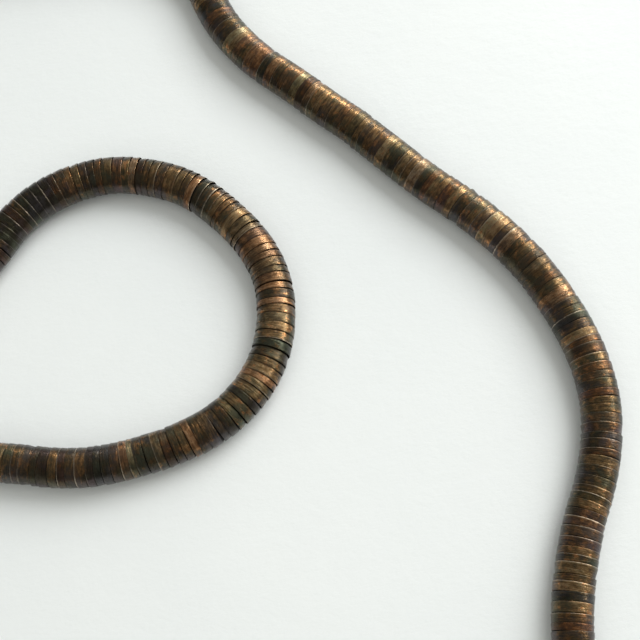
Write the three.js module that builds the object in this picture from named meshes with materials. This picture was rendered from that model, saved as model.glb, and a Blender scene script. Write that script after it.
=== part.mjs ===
// A bendable chain of small flared copper rings, each one nested in the next, lying on a table.
// Units are millimetres, +Z is up, and z = 0 is the table under the chain.
//
// Every eight rings are joined here into one hollow sleeve, called a ring run.  A run has an
// open mouth facing the tail of the chain and a narrower neck facing its head, and each neck
// stands loose inside the mouth of the run ahead of it, the way the single rings do.
import * as THREE from 'three';

// ---- the rings ---------------------------------------------------------------------------
const RIM_RADIUS = 3.5;          // rim of one ring, and the height of the chain's axis
const SHOULDER_RADIUS = 3.27;    // narrow end of one ring, where it goes into the next
const RING_PITCH = 1.5;          // length each ring adds to the chain
const RINGS_PER_RUN = 8;
const RUNS = 42;

// ---- the sleeve that stands for one run ----------------------------------------------------
const SLEEVE_SIDES = 12;         // flat sides: one of them lies on the table
const BORE = 2.8;                // inside of the sleeve
const NECK_OUTSIDE = 2.45;
const NECK_INSIDE = 1.85;
const HALF_GAP = 0.225;          // from the pivot between two runs to the face of either
const NECK_REACH = 0.9;          // from that pivot to the tip of the neck
const NECK_ROOT = 1.2;           // from that pivot back to the inner end of the neck's bore
const BORE_END = 1.7;            // and back to the end of the wide bore
const RUN_LENGTH = RING_PITCH * RINGS_PER_RUN;

// ---- the end caps --------------------------------------------------------------------------
const CAP_SIDES = 16;
const CAP_RADIUS = 3.4;
const CAP_LENGTH = 5.4;
const CAP_END_RADIUS = 1.6;
const CAP_SEAT = 1.7;            // depth of the socket in the head cap
// radius, then distance from the chain's end: a collar, a groove, a dome and a flat end
const CAP_SHAPE = [
  [3.2, HALF_GAP], [CAP_RADIUS, 0.5], [CAP_RADIUS, 1.3], [3.0, 1.6], [3.0, 2.1],
  [3.25, 2.5], [3.0, 3.6], [2.4, 4.6], [1.95, 5.15], [CAP_END_RADIUS, CAP_LENGTH],
  [0, CAP_LENGTH],
];

// ---- how the chain lies --------------------------------------------------------------------
// From the tail: length of each stretch, and how many degrees it bends to the left.
const ROUTE = [
  [36, -26],                                  // the free tail
  [30, 39], [42, 98], [24, 42], [30, 71],     // the open loop
  [54, -162], [33, 0], [25, -76], [29, 0],    // the turn back over the loop
  [24, -72], [24, 32], [9, 0],                // and down into the long arm
  [24, -3.5], [24, -8.5], [18, -19.5], [30, -44],
  [48, 45],                                   // the free head
];
const START = new THREE.Vector2(-64.68, -11.04);
const START_HEADING = 6.4;                    // degrees from +X

const copper = new THREE.MeshStandardMaterial({ color: 0x7a4a28, roughness: 0.42, metalness: 0.9 });
const capCopper = new THREE.MeshStandardMaterial({ color: 0x8c5a34, roughness: 0.3, metalness: 1 });

// Heading of the chain, in radians, a distance s from the tail.
function headingAt(s) {
  let heading = START_HEADING;
  let left = s;
  for (const [length, bend] of ROUTE) {
    const part = Math.min(left, length);
    heading += bend * part / length;
    left -= part;
    if (left <= 0) break;
  }
  return THREE.MathUtils.degToRad(heading);
}

const unit = (angle) => new THREE.Vector2(Math.cos(angle), Math.sin(angle));

// The pivots between rings, seen from above, and the heading of each ring.
function layRings(count) {
  const pivots = [START];
  const headings = [];
  for (let i = 0; i < count; i += 1) {
    headings.push(headingAt((i + 0.5) * RING_PITCH));
    pivots.push(pivots[i].clone().addScaledVector(unit(headings[i]), RING_PITCH));
  }
  return { pivots, headings };
}

// A turned shape lying along +X, with a flat side underneath.  Each radius is to the flats.
function turned(outline, sides) {
  const toCorner = 1 / Math.cos(Math.PI / sides);
  const points = outline.map(([radius, distance]) => new THREE.Vector2(radius * toCorner, distance));
  return new THREE.LatheGeometry(points, sides, Math.PI / sides).rotateZ(-Math.PI / 2);
}

// Outline of a straight run: eight flared rings, the neck, and the bore back to the mouth.
function runOutline() {
  const outline = [];
  for (let ring = 0; ring < RINGS_PER_RUN; ring += 1) {
    const rim = ring === 0 ? HALF_GAP : ring * RING_PITCH;
    const shoulder = ring === RINGS_PER_RUN - 1 ? RUN_LENGTH - HALF_GAP : (ring + 1) * RING_PITCH;
    outline.push([RIM_RADIUS, rim], [SHOULDER_RADIUS, shoulder]);
  }
  outline.push(
    [NECK_OUTSIDE, RUN_LENGTH - HALF_GAP],
    [NECK_OUTSIDE, RUN_LENGTH + NECK_REACH],
    [NECK_INSIDE, RUN_LENGTH + NECK_REACH],
    [NECK_INSIDE, RUN_LENGTH - NECK_ROOT],
    [BORE, RUN_LENGTH - BORE_END],
    [BORE, RUN_LENGTH / 2],
    [BORE, HALF_GAP],
    [RIM_RADIUS, HALF_GAP],
  );
  return outline;
}

// Bends a straight run at the pivots between its rings.  Pivots and headings are the run's own,
// measured from its mouth.
function bend(geometry, pivots, headings) {
  const places = geometry.getAttribute('position');
  const last = RINGS_PER_RUN - 1;
  for (let i = 0; i < places.count; i += 1) {
    const along = places.getX(i);
    const nearest = Math.round(along / RING_PITCH);
    const onPivot = Math.abs(along - nearest * RING_PITCH) < 1e-4 && nearest > 0 && nearest <= last;
    const ring = onPivot ? nearest : THREE.MathUtils.clamp(Math.floor(along / RING_PITCH), 0, last);
    const heading = onPivot ? (headings[ring - 1] + headings[ring]) / 2 : headings[ring];
    const point = pivots[ring].clone()
      .addScaledVector(unit(heading), along - ring * RING_PITCH)
      .addScaledVector(unit(heading + Math.PI / 2), places.getY(i));
    places.setXY(i, point.x, point.y);
  }
  geometry.computeVertexNormals();
  return geometry;
}

function place(name, geometry, material, pivot, heading) {
  const mesh = new THREE.Mesh(geometry, material);
  mesh.name = name;
  mesh.position.set(pivot.x, pivot.y, RIM_RADIUS);
  mesh.rotation.z = heading;
  return mesh;
}

// One run: eight joined rings, bent the way the chain lies there.
function ringRun(number, chainPivots, chainHeadings) {
  const first = number * RINGS_PER_RUN;
  const mouth = chainPivots[first];
  const heading = chainHeadings[first];
  const centre = new THREE.Vector2();
  const pivots = chainPivots.slice(first, first + RINGS_PER_RUN + 1)
    .map((pivot) => pivot.clone().sub(mouth).rotateAround(centre, -heading));
  const headings = chainHeadings.slice(first, first + RINGS_PER_RUN).map((angle) => angle - heading);
  const geometry = bend(turned(runOutline(), SLEEVE_SIDES), pivots, headings);
  const name = `ring_run_${String(number + 1).padStart(2, '0')}`;
  return place(name, geometry, copper, mouth, heading);
}

// The tail cap is a plug: it carries a neck of its own, which stands in the first mouth.
function tailCap(pivot, heading) {
  const neck = [[0, -NECK_REACH], [NECK_OUTSIDE, -NECK_REACH], [NECK_OUTSIDE, HALF_GAP]];
  const geometry = turned([...neck, ...CAP_SHAPE], CAP_SIDES);
  return place('cap_tail', geometry, capCopper, pivot, heading + Math.PI);
}

// The head cap is a cup over the last neck.
function headCap(pivot, heading) {
  const socket = [[0, CAP_SEAT], [BORE, CAP_SEAT], [BORE, HALF_GAP]];
  const geometry = turned([...socket, ...CAP_SHAPE], CAP_SIDES);
  return place('cap_head', geometry, capCopper, pivot, heading);
}

const rings = RUNS * RINGS_PER_RUN;
const { pivots, headings } = layRings(rings);
const chain = new THREE.Group();
chain.name = 'bendable_ring_chain';
chain.add(tailCap(pivots[0], headings[0]));
for (let number = 0; number < RUNS; number += 1) {
  chain.add(ringRun(number, pivots, headings));
}
chain.add(headCap(pivots[rings], headings[rings - 1]));

export default chain;
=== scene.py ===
"""A bendable chain of nested, flared copper rings, lying in an open S on a pale painted table.

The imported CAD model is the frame.  Each of its ring runs is a plain sleeve that stands for eight
rings; here every ring is made as its own thin shell, and the rings of a run ride on its body.
"""
import math
import random

import bpy
from mathutils import Matrix, Vector, noise


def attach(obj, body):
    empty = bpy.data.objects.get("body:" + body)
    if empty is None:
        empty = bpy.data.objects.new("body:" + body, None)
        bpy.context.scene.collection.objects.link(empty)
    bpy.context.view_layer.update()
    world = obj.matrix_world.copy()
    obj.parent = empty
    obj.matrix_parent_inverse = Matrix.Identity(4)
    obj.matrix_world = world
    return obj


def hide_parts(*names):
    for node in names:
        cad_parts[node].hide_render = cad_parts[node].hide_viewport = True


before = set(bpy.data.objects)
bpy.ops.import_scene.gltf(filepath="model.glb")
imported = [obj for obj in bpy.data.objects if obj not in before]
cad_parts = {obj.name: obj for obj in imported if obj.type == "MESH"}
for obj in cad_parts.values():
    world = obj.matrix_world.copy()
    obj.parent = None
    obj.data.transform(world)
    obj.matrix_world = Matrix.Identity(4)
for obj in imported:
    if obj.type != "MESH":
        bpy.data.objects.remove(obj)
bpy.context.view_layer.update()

MM = 0.001

# ---- how the chain lies, as in the CAD model ---------------------------------------------------
RIM_RADIUS = 3.5
RING_PITCH = 1.5
RINGS_PER_RUN = 8
RUNS = 42
# From the tail: length of each stretch in mm, and how many degrees it bends to the left.
ROUTE = [
    (36, -26),
    (30, 39), (42, 98), (24, 42), (30, 71),
    (54, -162), (33, 0), (25, -76), (29, 0),
    (24, -72), (24, 32), (9, 0),
    (24, -3.5), (24, -8.5), (18, -19.5), (30, -44),
    (48, 45),
]
START = (-64.68, -11.04)
START_HEADING = 6.4

# How far the chain sways off that route, in mm to the left, at a distance in mm from the tail.
SWAY = [
    (0, 0.0), (60, 0.1), (80, -0.4), (92, 0.0), (110, 0.5), (126, -0.1), (144, 0.0), (170, 0.1),
    (335, 1.3), (350, 1.6), (366, 0.75), (385, -0.3), (404, 0.5), (420, -0.1), (432, 0.1),
    (448, -0.3), (504, 0.0),
]

# How loosely the rings sit, from 0 to 1, at a distance in mm from the tail.
LOOSENESS = [(0, 0.8), (60, 0.9), (78, 1.0), (104, 1.0), (122, 0.5), (340, 0.5), (420, 0.7), (504, 0.8)]

# How rubbed and bright the copper is, from 0 to 1, at a distance in mm from the tail.
WEAR = [
    (0, 0.42), (40, 0.38), (70, 0.55), (100, 0.76), (125, 0.50), (150, 0.28), (190, 0.34),
    (260, 0.45), (340, 0.54), (400, 0.60), (450, 0.54), (504, 0.55),
]

# Painted shade on the flanks and belly, darker the lower they are: heights in rim radii above the axis.
PAINTED_SHADE_TOP = 0.85
PAINTED_SHADE_SPREAD = 0.50
PAINTED_SHADE_DEPTH = 0.45

# ---- one ring, in mm: distance from its rim towards the head, then radius ------------------------
RING_SIDES = 56
RING_OUTSIDE = [
    (0.00, 3.440), (0.02, 3.468), (0.07, 3.491), (0.14, 3.500), (0.24, 3.497), (0.45, 3.486),
    (0.75, 3.470), (1.10, 3.452), (1.34, 3.434), (1.44, 3.402), (1.51, 3.320), (1.65, 3.210),
    (1.80, 3.130), (1.95, 3.050),
]
RING_INSIDE = [(1.95, 2.93), (1.70, 3.01), (1.35, 3.11), (0.85, 3.24), (0.45, 3.350), (0.04, 3.420)]
BAND_END = 1.40           # the band that stays in sight; its width differs from ring to ring
LIP_END = 0.40            # the lip, which covers the ring before it by a different amount each time
RIM_END = 0.20            # the polished rim fades out by here
NOOK_START = 1.40         # and painted shade between the rings begins beyond here

# ---- how far a ring strays from true: mm, degrees, or shares of its radius --------------------------
WIDTH_SHARES = (0.72, 1.28)    # of a band's width against its neighbours'
MEAN_SIZE = 0.982              # a little small, which leaves room for the rest
SIZE_DRIFT = 0.006             # a drift is gradual along the chain
SIZE_SPREAD = 0.009            # and a spread is from ring to ring
SIDE_DRIFT = 0.12
LIFT = 0.06
LIFT_DRIFT = 0.04
SHIFT_SPREAD = 0.02
TILT_SPREAD = 1.1
TAPERS = (0.002, 0.014)
JOINT_TAPER = 0.047            # for the last ring before a joint
JOINT_PLAY = 0.1               # how much of all this is left in the rings at a joint
OVALNESS = 0.006
DENT_DEPTH = 0.012
DENT_EDGE = 0.9                # cosine of the angle from a dent's middle to its edge
DENT_REACH = 0.8               # how far a dent goes in from the rim, in mm
COVER = 0.06
TONE_SPREAD = 0.18
FEW_BRIGHT_LIPS = 6            # the higher this power, the fewer lips are polished

# ---- the end caps, in mm: distance from the chain's end, then radius ------------------------------
CAP_SIDES = 72
CAP_GROOVE = 1.80         # middle of the groove behind the collar, which gets painted shade
CAP_GROOVE_HALF = 0.35
CAP_TONE = 0.62
CAP_TINT = 0.3
CAP_OUTSIDE = [
    (0.23, 3.05), (0.25, 3.17), (0.34, 3.31), (0.50, 3.40), (0.75, 3.44), (1.05, 3.44), (1.28, 3.39),
    (1.42, 3.27), (1.50, 3.12), (1.60, 3.03), (1.80, 3.00), (2.02, 3.02), (2.12, 3.10), (2.22, 3.19),
    (2.45, 3.25), (2.80, 3.25), (3.20, 3.17), (3.60, 3.02), (4.00, 2.80), (4.40, 2.52), (4.75, 2.23),
    (5.05, 1.96), (5.25, 1.78), (5.37, 1.66), (5.40, 1.55), (5.40, 0.00),
]
TAIL_PLUG = [(-0.90, 0.0), (-0.90, 2.70), (-0.84, 2.80), (-0.60, 2.85), (0.23, 2.85)]
HEAD_SOCKET = [(1.70, 0.0), (1.70, 3.10), (0.50, 3.22), (0.26, 3.26)]

random.seed(7)


# ---- shapes ---------------------------------------------------------------------------------------
def heading_at(s):
    """Heading of the chain, in radians, a distance s from the tail."""
    heading = START_HEADING
    left = s
    for length, bend in ROUTE:
        part = min(left, length)
        heading += bend * part / length
        left -= part
        if left <= 0:
            break
    return math.radians(heading)


def lay_rings(count):
    """The pivots between rings and the direction of each ring, in mm."""
    pivots = [Vector((START[0], START[1], RIM_RADIUS))]
    along = []
    for i in range(count):
        heading = heading_at((i + 0.5) * RING_PITCH)
        along.append(Vector((math.cos(heading), math.sin(heading), 0.0)))
        pivots.append(pivots[i] + along[i] * RING_PITCH)
    return pivots, along


def frame_at(point, along):
    """A matrix whose X runs along the chain and Z up, at a point in mm."""
    side = Vector((0.0, 0.0, 1.0)).cross(along).normalized()
    up = along.cross(side)
    turn = Matrix((along, side, up)).transposed().to_4x4()
    return Matrix.Translation(point) @ turn


class Shell:
    """Gathers turned shapes into one mesh, with the values that its material reads."""

    def __init__(self):
        self.points = []
        self.faces = []
        self.values = {"tone": [], "tint": [], "rim": [], "nook": []}
        self.places = []

    def turn(self, outline, sides, place, tone, tint, key, closed, shape=None):
        """Turns an outline about X.  Each of its points is (distance, radius, rim, nook)."""
        rows = []
        for distance, radius, rim, nook in outline:
            at_axis = radius < 1e-6
            row = []
            for i in range(1 if at_axis else sides):
                angle = 2 * math.pi * i / sides
                r = radius * (shape(angle, distance) if shape else 1.0)
                local = Vector((distance, r * math.cos(angle), r * math.sin(angle)))
                row.append(len(self.points))
                self.points.append(place @ local * MM)
                self.places.append((local.y + 11.3 * key, local.z - 7.7 * key, distance + 3.1 * key))
                # painted shade: the tone is made darker the lower the point lies on the ring
                underside_painted_shade = min(1.0, max(0.0, (PAINTED_SHADE_TOP - local.z / RIM_RADIUS) / PAINTED_SHADE_SPREAD))
                shaded_tone = tone - PAINTED_SHADE_DEPTH * underside_painted_shade
                for name, value in (("tone", shaded_tone), ("tint", tint), ("rim", rim), ("nook", nook)):
                    self.values[name].append(value)
            rows.append(row)
        pairs = list(zip(rows, rows[1:]))
        if closed:
            pairs.append((rows[-1], rows[0]))
        for here, there in pairs:
            for i in range(sides):
                j = (i + 1) % sides
                if len(here) == 1:
                    self.faces.append((here[0], there[j], there[i]))
                elif len(there) == 1:
                    self.faces.append((here[i], here[j], there[0]))
                else:
                    self.faces.append((here[i], here[j], there[j], there[i]))

    def finish(self, name, material, body, node):
        """Makes the object and hands it to the frame."""
        mesh = bpy.data.meshes.new(name)
        mesh.from_pydata(self.points, [], self.faces)
        for key, values in self.values.items():
            mesh.attributes.new(key, "FLOAT", "POINT").data.foreach_set("value", values)
        flat = [x for place in self.places for x in place]
        mesh.attributes.new("place", "FLOAT_VECTOR", "POINT").data.foreach_set("vector", flat)
        mesh.shade_smooth()
        mesh.materials.append(material)
        piece = bpy.data.objects.new(name, mesh)
        bpy.context.scene.collection.objects.link(piece)
        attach(piece, body)
        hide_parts(node)
        return piece


def slow(index, length, layer):
    """A value from -1 to 1 that drifts along the chain over about that many rings."""
    return 2 * noise.noise(Vector((index / length, 5.3 * layer, 0.7)))


def ring_outline():
    """The closed outline of one ring, with how polished each point is and its painted shade in the gaps."""
    outline = []
    for distance, radius in RING_OUTSIDE:
        rim = max(0.0, 1 - distance / RIM_END)
        nook = min(1.0, max(0.0, (distance - NOOK_START) / (RING_PITCH - NOOK_START)))
        outline.append((distance, radius, rim, nook))
    for distance, radius in RING_INSIDE:
        # the insides of the ring get painted shade as well
        outline.append((distance, radius, 0.0, 1.0 if distance > 0.1 else 0.5))
    return outline


def follow(stops, s):
    """The value at a distance s in mm from the tail, eased between (distance, value) stops."""
    for (start, before), (end, after) in zip(stops, stops[1:]):
        if s <= end:
            t = (s - start) / (end - start)
            return before + (after - before) * t * t * (3 - 2 * t)
    return stops[-1][1]


def ring_widths():
    """Eight band widths in mm that together fill one run."""
    shares = [random.uniform(*WIDTH_SHARES) for _ in range(RINGS_PER_RUN)]
    run_length = RINGS_PER_RUN * RING_PITCH
    return [run_length * share / sum(shares) for share in shares]


def add_ring(shell, outline, start, width, key, pivots, along):
    """One flared ring, a little out of true, the way a worn chain's rings are.

    The two rings at a joint are truer and share their place, and the first of them tapers more, so
    that the mouth of the second has room to tilt over it.
    """
    opens_run = key % RINGS_PER_RUN == 0
    closes_run = key % RINGS_PER_RUN == RINGS_PER_RUN - 1
    index = min(int((start + width / 2) / RING_PITCH), len(along) - 1)
    middle = pivots[index] + along[index] * (start + width / 2 - index * RING_PITCH)
    rim = middle - along[index] * width / 2
    play = JOINT_PLAY if opens_run or closes_run else follow(LOOSENESS, start)
    spot = index + 1 if closes_run else index
    side = follow(SWAY, spot * RING_PITCH) + SIDE_DRIFT * slow(spot, 8, 1)
    side += play * random.uniform(-SHIFT_SPREAD, SHIFT_SPREAD)
    lift = LIFT + LIFT_DRIFT * slow(spot, 7, 2) + play * random.uniform(-SHIFT_SPREAD, SHIFT_SPREAD)
    yaw = play * math.radians(random.gauss(0, TILT_SPREAD))
    pitch = play * math.radians(random.gauss(0, TILT_SPREAD))
    size = MEAN_SIZE + SIZE_DRIFT * slow(spot, 8, 3) + play * random.uniform(-SIZE_SPREAD, SIZE_SPREAD)
    taper = JOINT_TAPER if closes_run else random.uniform(*TAPERS)
    out_of_round = play * random.uniform(0.0, OVALNESS)
    phase = random.uniform(0, math.pi)
    dent = play * random.uniform(0.0, DENT_DEPTH)
    dent_angle = random.uniform(0, 2 * math.pi)
    cover = 0.0 if opens_run else random.uniform(0.0, COVER)
    tone = follow(WEAR, start) + random.gauss(0, TONE_SPREAD)
    tint = random.random()
    shine = random.random() ** FEW_BRIGHT_LIPS

    def shape(angle, distance):
        oval = 1 + out_of_round * math.cos(2 * (angle - phase))
        depth = max(0.0, (math.cos(angle - dent_angle) - DENT_EDGE) / (1 - DENT_EDGE))
        nick = dent * depth * max(0.0, 1 - distance / DENT_REACH)
        return size * oval - nick - taper * min(1.0, distance / BAND_END)

    narrowed = width - RING_PITCH
    fitted = []
    for distance, radius, gloss, nook in outline:
        moved = distance + narrowed * min(1.0, distance / BAND_END)
        moved -= cover * max(0.0, 1 - distance / LIP_END)
        fitted.append((moved, radius, gloss * shine, nook))
    loose = Matrix.Translation((0, side, lift)) @ Matrix.Rotation(yaw, 4, "Z")
    loose = loose @ Matrix.Rotation(pitch, 4, "Y")
    shell.turn(fitted, RING_SIDES, frame_at(rim, along[index]) @ loose, tone, tint, key, True, shape)


# ---- materials --------------------------------------------------------------------------------------
TARNISH = [
    (0.00, (0.034, 0.027, 0.018)),
    (0.25, (0.068, 0.048, 0.027)),
    (0.45, (0.120, 0.072, 0.033)),
    (0.62, (0.194, 0.114, 0.050)),
    (0.80, (0.295, 0.187, 0.090)),
    (1.00, (0.440, 0.315, 0.185)),
]
CASTS = [
    (0.00, (0.90, 0.96, 0.90)),
    (0.30, (1.08, 0.98, 0.84)),
    (0.52, (0.76, 0.90, 0.86)),
    (0.72, (0.94, 0.92, 0.98)),
    (1.00, (1.30, 0.92, 0.70)),
]
VIOLET = (0.112, 0.094, 0.112)
OLIVE = (0.080, 0.080, 0.054)
RUBBED = (0.56, 0.235, 0.085)
SOOT = (0.022, 0.018, 0.015)
WORN_LIP = (0.80, 0.66, 0.50)
# the colour of the painted shade in the gaps between rings
GAP_PAINTED_SHADE = (0.012, 0.010, 0.008)
PAINT = [(0.3, (0.770, 0.800, 0.800)), (0.7, (0.810, 0.835, 0.830))]
PAINT_SPECK = (0.25, 0.24, 0.22)


def new_material(name):
    material = bpy.data.materials.new(name)
    material.use_nodes = True
    return material, material.node_tree.nodes, material.node_tree.links


def attribute(nodes, name):
    node = nodes.new("ShaderNodeAttribute")
    node.attribute_name = name
    return node


def ramp(nodes, links, value, stops):
    """A colour ramp over (place, colour) stops."""
    node = nodes.new("ShaderNodeValToRGB")
    elements = node.color_ramp.elements
    elements[0].position = stops[0][0]
    elements[0].color = (*stops[0][1], 1)
    elements[1].position = stops[-1][0]
    elements[1].color = (*stops[-1][1], 1)
    for position, colour in stops[1:-1]:
        elements.new(position).color = (*colour, 1)
    links.new(value, node.inputs["Fac"])
    return node.outputs["Color"]


def mix(nodes, links, factor, a, b, kind="MIX"):
    """Mixes two colours; each may be a socket or a plain colour."""
    node = nodes.new("ShaderNodeMix")
    node.data_type = "RGBA"
    node.blend_type = kind
    for socket, value in ((node.inputs["Factor"], factor), (node.inputs["A"], a), (node.inputs["B"], b)):
        if isinstance(value, bpy.types.NodeSocket):
            links.new(value, socket)
        elif isinstance(value, (int, float)):
            socket.default_value = value
        else:
            socket.default_value = (*value, 1)
    return node.outputs["Result"]


def math_node(nodes, links, operation, a, b=0.0, clamp=False):
    node = nodes.new("ShaderNodeMath")
    node.operation = operation
    node.use_clamp = clamp
    for socket, value in zip(node.inputs, (a, b)):
        if isinstance(value, bpy.types.NodeSocket):
            links.new(value, socket)
        else:
            socket.default_value = value
    return node.outputs["Value"]


def span(nodes, links, value, low, high, to_low=0.0, to_high=1.0):
    """Maps a value from one range to another, clamped."""
    node = nodes.new("ShaderNodeMapRange")
    links.new(value, node.inputs["Value"])
    node.inputs["From Min"].default_value = low
    node.inputs["From Max"].default_value = high
    node.inputs["To Min"].default_value = to_low
    node.inputs["To Max"].default_value = to_high
    return node.outputs["Result"]


def speckle(nodes, links, where, scale, detail, stretch=(1, 1, 1), rough=0.55):
    """A noise over coordinates in mm, squeezed so that it streaks round the ring."""
    mapping = nodes.new("ShaderNodeMapping")
    mapping.inputs["Scale"].default_value = stretch
    links.new(where, mapping.inputs["Vector"])
    texture = nodes.new("ShaderNodeTexNoise")
    texture.inputs["Scale"].default_value = scale
    texture.inputs["Detail"].default_value = detail
    texture.inputs["Roughness"].default_value = rough
    links.new(mapping.outputs["Vector"], texture.inputs["Vector"])
    return texture.outputs["Fac"]


def copper_colour(nodes, links, ring, marks, polish):
    """Brown, olive and violet tarnish, rubbed orange in places, with painted shade in the gaps."""
    # the tone holds the painted shade on the underside as well as the wear along the chain
    tone = ring["tone"]
    wander = tone
    for mark, reach in (("patch", 0.20), ("blotch", 0.34), ("streak", 0.28)):
        shift = span(nodes, links, marks[mark], 0.3, 0.7, -reach, reach)
        wander = math_node(nodes, links, "ADD", wander, shift)
    colour = ramp(nodes, links, wander, TARNISH)
    violet = math_node(nodes, links, "MULTIPLY", span(nodes, links, marks["cloud"], 0.48, 0.64, 0.0, 0.5),
                       span(nodes, links, tone, 0.30, 0.65, 1.0, 0.3))
    colour = mix(nodes, links, violet, colour, VIOLET)
    olive = span(nodes, links, marks["cloud"], 0.50, 0.36, 0.0, 0.78)
    colour = mix(nodes, links, olive, colour, OLIVE)
    colour = mix(nodes, links, 1.0, colour, ramp(nodes, links, ring["tint"], CASTS), "MULTIPLY")
    rubbed = span(nodes, links, marks["blotch"], 0.55 - 0.04 * polish, 0.68)
    for where in (span(nodes, links, marks["patch"], 0.42, 0.58, 0.15, 1.0),
                  span(nodes, links, tone, 0.10, 0.50)):
        rubbed = math_node(nodes, links, "MULTIPLY", rubbed, where)
    colour = mix(nodes, links, rubbed, colour, RUBBED)
    soot = span(nodes, links, marks["grain"], 0.50, 0.66, 0.0, 0.6)
    colour = mix(nodes, links, soot, colour, SOOT)
    worn = span(nodes, links, marks["grain"], 0.40, 0.60, 0.2, 1.0)
    colour = mix(nodes, links, math_node(nodes, links, "MULTIPLY", ring["rim"], worn), colour, WORN_LIP)
    # painted shade in the gaps between rings and on their insides
    painted_gap_shade = math_node(nodes, links, "MULTIPLY", ring["nook"], 0.85)
    return mix(nodes, links, painted_gap_shade, colour, GAP_PAINTED_SHADE)


def copper_roughness(nodes, links, ring, marks, polish):
    """Smoother where it is rubbed, rougher in the gaps."""
    rough = span(nodes, links, marks["blotch"], 0.30, 0.70, 0.40 - 0.06 * polish, 0.24 - 0.02 * polish)
    rough = math_node(nodes, links, "ADD", rough, span(nodes, links, marks["grain"], 0.3, 0.7, -0.06, 0.08))
    in_gaps = math_node(nodes, links, "MULTIPLY", ring["nook"], 0.3)
    return math_node(nodes, links, "ADD", rough, in_gaps, True)


def copper_bump(nodes, links, marks):
    """Fine lines round the rings, and shallow dimples."""
    height = math_node(nodes, links, "ADD", math_node(nodes, links, "MULTIPLY", marks["streak"], 0.85),
                       math_node(nodes, links, "MULTIPLY", marks["blotch"], 0.25))
    bump = nodes.new("ShaderNodeBump")
    bump.inputs["Strength"].default_value = 0.8
    bump.inputs["Distance"].default_value = 0.13 * MM
    links.new(height, bump.inputs["Height"])
    return bump.outputs["Normal"]


def copper_material(name, polish):
    """Old copper; polish is 0 for the rings and 1 for the caps, which are handled more."""
    material, nodes, links = new_material(name)
    shader = nodes["Principled BSDF"]
    place = attribute(nodes, "place").outputs["Vector"]
    ring = {key: attribute(nodes, key).outputs["Fac"] for key in ("tone", "tint", "rim", "nook")}
    chain = nodes.new("ShaderNodeTexCoord").outputs["Object"]
    marks = {
        "patch": speckle(nodes, links, chain, 120, 3, (1, 1, 1), 0.6),
        "cloud": speckle(nodes, links, chain, 210, 4, (1, 1, 1), 0.6),
        "blotch": speckle(nodes, links, place, 0.75, 5, (1, 1, 1.6), 0.62),
        "streak": speckle(nodes, links, place, 0.42, 5, (1, 1, 10), 0.62),
        "grain": speckle(nodes, links, place, 2.2, 4, (1, 1, 4), 0.7),
    }
    normal = copper_bump(nodes, links, marks)
    links.new(copper_colour(nodes, links, ring, marks, polish), shader.inputs["Base Color"])
    links.new(copper_roughness(nodes, links, ring, marks, polish), shader.inputs["Roughness"])
    links.new(span(nodes, links, marks["blotch"], 0.30, 0.60, 0.86, 1.0), shader.inputs["Metallic"])
    links.new(normal, shader.inputs["Normal"])
    links.new(normal, shader.inputs["Coat Normal"])
    shader.inputs["Coat Weight"].default_value = 0.22
    shader.inputs["Coat Roughness"].default_value = 0.22
    shader.inputs["Coat IOR"].default_value = 1.5
    return material


def table_material():
    """Pale paint, brushed on, with faint strokes and a few specks."""
    material, nodes, links = new_material("table_paint")
    shader = nodes["Principled BSDF"]
    coordinates = nodes.new("ShaderNodeTexCoord").outputs["Object"]
    wide = speckle(nodes, links, coordinates, 14, 4)
    fine = speckle(nodes, links, coordinates, 300, 7, (1, 1.5, 1), 0.68)
    dots = speckle(nodes, links, coordinates, 900, 2)
    colour = ramp(nodes, links, wide, PAINT)
    speck = span(nodes, links, dots, 0.80, 0.84, 0.0, 0.5)
    colour = mix(nodes, links, speck, colour, PAINT_SPECK)
    links.new(colour, shader.inputs["Base Color"])
    shader.inputs["Roughness"].default_value = 0.55
    bump = nodes.new("ShaderNodeBump")
    bump.inputs["Strength"].default_value = 0.5
    bump.inputs["Distance"].default_value = 0.20 * MM
    links.new(fine, bump.inputs["Height"])
    links.new(bump.outputs["Normal"], shader.inputs["Normal"])
    return material


# ---- the object ---------------------------------------------------------------------------------------
def make_rings(material):
    pivots, along = lay_rings(RUNS * RINGS_PER_RUN)
    outline = ring_outline()
    for run in range(RUNS):
        name = f"ring_run_{run + 1:02d}"
        shell = Shell()
        start = run * RINGS_PER_RUN * RING_PITCH
        for number, width in enumerate(ring_widths()):
            key = run * RINGS_PER_RUN + number
            add_ring(shell, outline, start, width, key, pivots, along)
            start += width
        shell.finish(f"rings_{run + 1:02d}", material, name, name)
    return pivots, along


def cap_outline(inside):
    """A cap's outline: bright on the collar and the dome, with painted shade in the groove."""
    outline = [(distance, radius, 0.0, 1.0) for distance, radius in inside]
    for distance, radius in CAP_OUTSIDE:
        groove = max(0.0, 1 - abs(distance - CAP_GROOVE) / CAP_GROOVE_HALF)
        # painted shade in the groove, through the gap value
        outline.append((distance, radius, 0.25 * (1 - groove), 0.8 * groove))
    return outline


def make_cap(name, body, node, inside, point, outwards, material, key):
    shell = Shell()
    shell.turn(cap_outline(inside), CAP_SIDES, frame_at(point, outwards), CAP_TONE, CAP_TINT, key, False)
    return shell.finish(name, material, body, node)


def make_table(material):
    mesh = bpy.data.meshes.new("table")
    half = 3.0
    mesh.from_pydata([(-half, -half, 0), (half, -half, 0), (half, half, 0), (-half, half, 0)], [],
                     [(0, 1, 2, 3)])
    mesh.materials.append(material)
    table = bpy.data.objects.new("table", mesh)
    bpy.context.scene.collection.objects.link(table)


# ---- camera and lights -----------------------------------------------------------------------------------
AIM = Vector((23.38, 0.0, RIM_RADIUS)) * MM
DISTANCE = 214.5 * MM
ELEVATION = math.radians(70)
ROLL = math.radians(12)
LENS = 69.1


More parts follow.
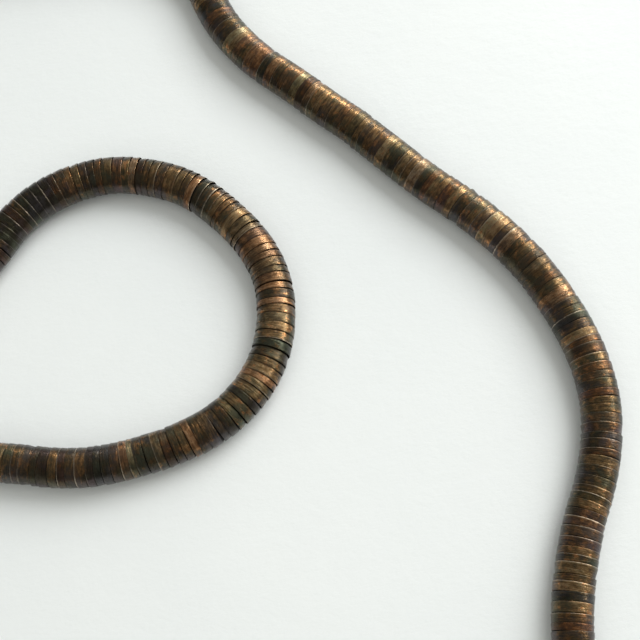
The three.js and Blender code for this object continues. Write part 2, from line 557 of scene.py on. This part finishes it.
def make_camera():
    forward = Vector((0, math.cos(ELEVATION), -math.sin(ELEVATION)))
    level_right = Vector((1, 0, 0))
    level_up = level_right.cross(forward)
    right = math.cos(ROLL) * level_right - math.sin(ROLL) * level_up
    up = math.sin(ROLL) * level_right + math.cos(ROLL) * level_up
    data = bpy.data.cameras.new("camera")
    data.lens = LENS
    data.clip_start = 0.01
    camera = bpy.data.objects.new("camera", data)
    turn = Matrix((right, up, -forward)).transposed().to_4x4()
    camera.matrix_world = Matrix.Translation(AIM - forward * DISTANCE) @ turn
    bpy.context.scene.collection.objects.link(camera)
    bpy.context.scene.camera = camera


def area_light(name, azimuth, elevation, distance, size, power, colour, mirrored):
    """A square soft light, aimed at the middle of the chain: it lights, or is only mirrored."""
    a, e = math.radians(azimuth), math.radians(elevation)
    towards = Vector((math.cos(e) * math.cos(a), math.cos(e) * math.sin(a), math.sin(e)))
    data = bpy.data.lights.new(name, "AREA")
    data.size = size
    data.energy = power
    data.color = colour
    light = bpy.data.objects.new(name, data)
    light.location = AIM + towards * distance
    light.rotation_euler = towards.to_track_quat("Z", "Y").to_euler()
    light.visible_glossy = mirrored
    light.visible_diffuse = not mirrored
    bpy.context.scene.collection.objects.link(light)


PANES = [(58, 1.8), (36, 1.9), (10, 2.3)]    # low bright panes: azimuth in degrees, power in watts
PANE_ELEVATION = 18
PANE_COLOUR = (1.0, 0.98, 0.90)
WINDOW_COLOUR = (0.985, 0.995, 1.0)
CEILING_COLOUR = (1.0, 0.995, 0.935)
ROOM_AZIMUTH = 40         # the room's bright side, in degrees
ROOM = [                  # from the dark side, 0, to the bright side, 1
    (0.00, (0.17, 0.17, 0.16)),
    (0.50, (0.24, 0.24, 0.23)),
    (0.63, (0.39, 0.39, 0.37)),
    (0.79, (0.50, 0.51, 0.48)),
    (0.89, (0.82, 0.82, 0.77)),
    (0.96, (1.20, 1.21, 1.13)),
    (1.00, (1.35, 1.35, 1.26)),
]


def make_room():
    """What the metal mirrors: bright low down on the window's side and dark opposite."""
    world = bpy.data.worlds.new("room")
    world.use_nodes = True
    nodes, links = world.node_tree.nodes, world.node_tree.links
    azimuth = math.radians(ROOM_AZIMUTH)
    towards = nodes.new("ShaderNodeVectorMath")
    towards.operation = "DOT_PRODUCT"
    towards.inputs[1].default_value = (math.cos(azimuth), math.sin(azimuth), 0)
    links.new(nodes.new("ShaderNodeTexCoord").outputs["Generated"], towards.inputs[0])
    side = span(nodes, links, towards.outputs["Value"], -1, 1)
    links.new(ramp(nodes, links, side, ROOM), nodes["Background"].inputs["Color"])
    bpy.context.scene.world = world


def make_lights():
    """Soft daylight: a window and a ceiling that only light, and panes that are only mirrored."""
    area_light("window", 32, 46, 0.8, 0.60, 5.3, WINDOW_COLOUR, False)
    area_light("ceiling", -110, 66, 1.5, 2.0, 9.9, CEILING_COLOUR, False)
    for number, (azimuth, power) in enumerate(PANES):
        area_light(f"pane_{number + 1}", azimuth, PANE_ELEVATION, 1.0, 0.20, power, PANE_COLOUR, True)
    bpy.context.scene.view_settings.view_transform = "Standard"


make_camera()
make_lights()
make_room()
make_table(table_material())
ring_copper = copper_material("ring_copper", 0.0)
cap_copper = copper_material("cap_copper", 1.0)
pivots, along = make_rings(ring_copper)
make_cap("tail_cap_turned", "tail_cap", "cap_tail", TAIL_PLUG, pivots[0], -along[0], cap_copper, 401)
make_cap("head_cap_turned", "head_cap", "cap_head", HEAD_SOCKET, pivots[-1], along[-1], cap_copper, 402)
